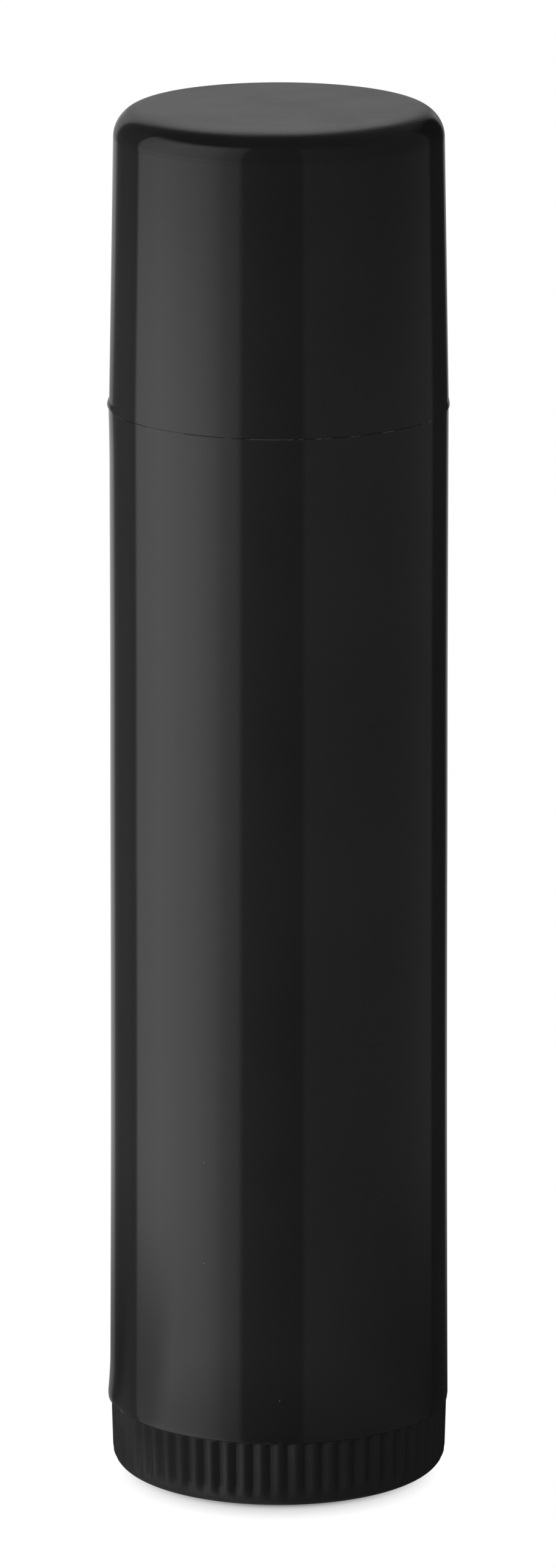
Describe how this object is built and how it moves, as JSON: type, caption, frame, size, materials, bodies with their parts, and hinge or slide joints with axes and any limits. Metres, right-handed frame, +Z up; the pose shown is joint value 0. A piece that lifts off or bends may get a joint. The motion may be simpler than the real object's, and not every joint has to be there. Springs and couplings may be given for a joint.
{
  "type": "lip balm stick",
  "caption": "Twist-up lip balm stick: a pull-off cap over a waisted barrel, with a ribbed wheel at the foot that screws the balm up and down.",
  "frame": {"origin": "middle of the foot face that the stick stands on, on its long axis", "axes": "+Z up along the stick from the foot to the cap; the stick is round, so +X and +Y only set where the screw's thread starts"},
  "size_m": [0.0164, 0.0164, 0.0662],
  "materials": {
    "barrel_plastic": "glossy black moulding with faint flow marks",
    "cap_plastic": "glossy black moulding, softer on the top face",
    "wheel_plastic": "glossy black moulding with ribs",
    "carrier_plastic": "satin black moulding",
    "balm_wax": "soft waxy sheen"
  },
  "bodies": {
    "barrel": {"barrel": "barrel_plastic"},
    "wheel": {"thumb_wheel": "wheel_plastic"},
    "carrier": {"carrier_cup": "carrier_plastic", "balm": "balm_wax"},
    "cap": {"cap": "cap_plastic"}
  },
  "joints": [
    {"name": "wheel_turn", "type": "hinge", "parent": "barrel", "child": "wheel", "pos_m": [0, 0, 0], "axis": [0, 0, -1], "range_deg": [0, 5400]},
    {"name": "balm_rise", "type": "slide", "parent": "barrel", "child": "carrier", "axis": [0, 0, 1], "range_m": [0, 0.045]},
    {"name": "cap_pull", "type": "slide", "parent": "carrier", "child": "cap", "axis": [0, 0, 1], "range_m": [0, 0.03]}
  ],
  "couplings": [
    {"joint": "wheel_turn", "follows": "balm_rise", "rad_per_m": 2094.4}
  ]
}
